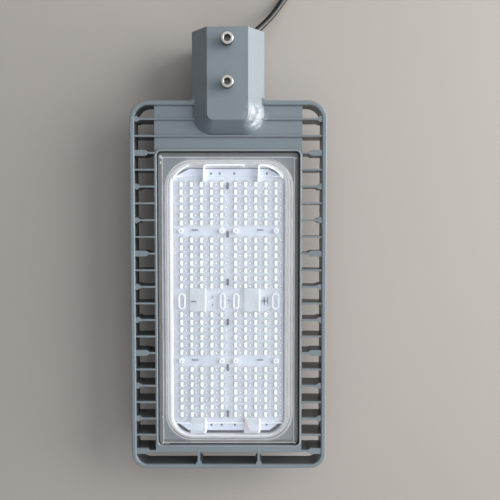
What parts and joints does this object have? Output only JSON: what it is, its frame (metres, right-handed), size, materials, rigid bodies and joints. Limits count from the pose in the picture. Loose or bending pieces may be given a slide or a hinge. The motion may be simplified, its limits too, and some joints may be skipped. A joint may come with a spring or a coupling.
{
  "type": "led street light head",
  "caption": "Flat street light head lying lit side up: finned cast housing, clear cover over LED lens plates, clamp socket for a pole arm, and a supply cable coiled at the mouth.",
  "frame": {"origin": "bottom of the lamp head, in the middle of its width and length, cable left out", "axes": "+Y along the lamp towards the mouth of the pole socket, +Z out of the lit face, +X across to the right seen from above the lit face"},
  "size_m": [0.21, 0.6282, 0.089],
  "materials": {
    "cast_housing": "satin grey powder coat on the casting",
    "black_rubber": "matt",
    "white_silicone": "matt",
    "stainless": "bright, lightly brushed",
    "driver_case": "satin",
    "surge_case": "matt",
    "terminal_body": "satin",
    "terminal_metal": "satin",
    "black_nylon": "matt",
    "board_white": "white solder mask on aluminium",
    "led_phosphor": "yellow phosphor in white package",
    "lens_clear": "clear moulded polycarbonate",
    "cover_clear": "clear moulded polycarbonate",
    "cable_sheath": "satin black",
    "core_brown": "brown insulation",
    "core_blue": "blue insulation",
    "core_earth": "green and yellow insulation",
    "lead_insulation": "coloured insulation",
    "lead_red": "red insulation",
    "lead_black": "black insulation"
  },
  "bodies": {
    "root": {"housing": "cast_housing", "driver_cover": "cast_housing", "driver_cover_gasket": "black_rubber", "gland_seal": "black_rubber", "sealant_bead": "black_rubber", "cover_seal": "white_silicone", "clamp_screw_outer": "stainless", "clamp_screw_inner": "stainless", "driver_cover_screws": "stainless", "driver_screws": "stainless", "surge_protector_screws": "stainless", "terminal_block_screws": "stainless", "lens_screws": "stainless", "led_driver": "driver_case", "surge_protector": "surge_case", "terminal_block": "terminal_body", "terminal_screws": "terminal_metal", "gland_body": "black_nylon", "gland_nut": "black_nylon", "gland_locknut": "black_nylon", "breather_vent": "black_nylon", "breather_vent_nut": "black_nylon", "lens_clips": "black_nylon", "led_board_upper": "board_white", "led_board_lower": "board_white", "led_chips_upper": "led_phosphor", "led_chips_lower": "led_phosphor", "lens_plate_upper": "lens_clear", "lens_plate_lower": "lens_clear", "optical_cover": "cover_clear", "inner_cable": "cable_sheath", "supply_cable": "cable_sheath", "cable_coil": "cable_sheath", "supply_cable_tail": "cable_sheath", "tail_core_brown": "core_brown", "tail_core_blue": "core_blue", "tail_core_earth": "core_earth", "mains_cores": "lead_insulation", "driver_input_leads": "lead_insulation", "surge_leads": "lead_insulation", "dc_lead_red": "lead_red", "series_link": "lead_red", "dc_lead_black": "lead_black"}
  },
  "joints": []
}
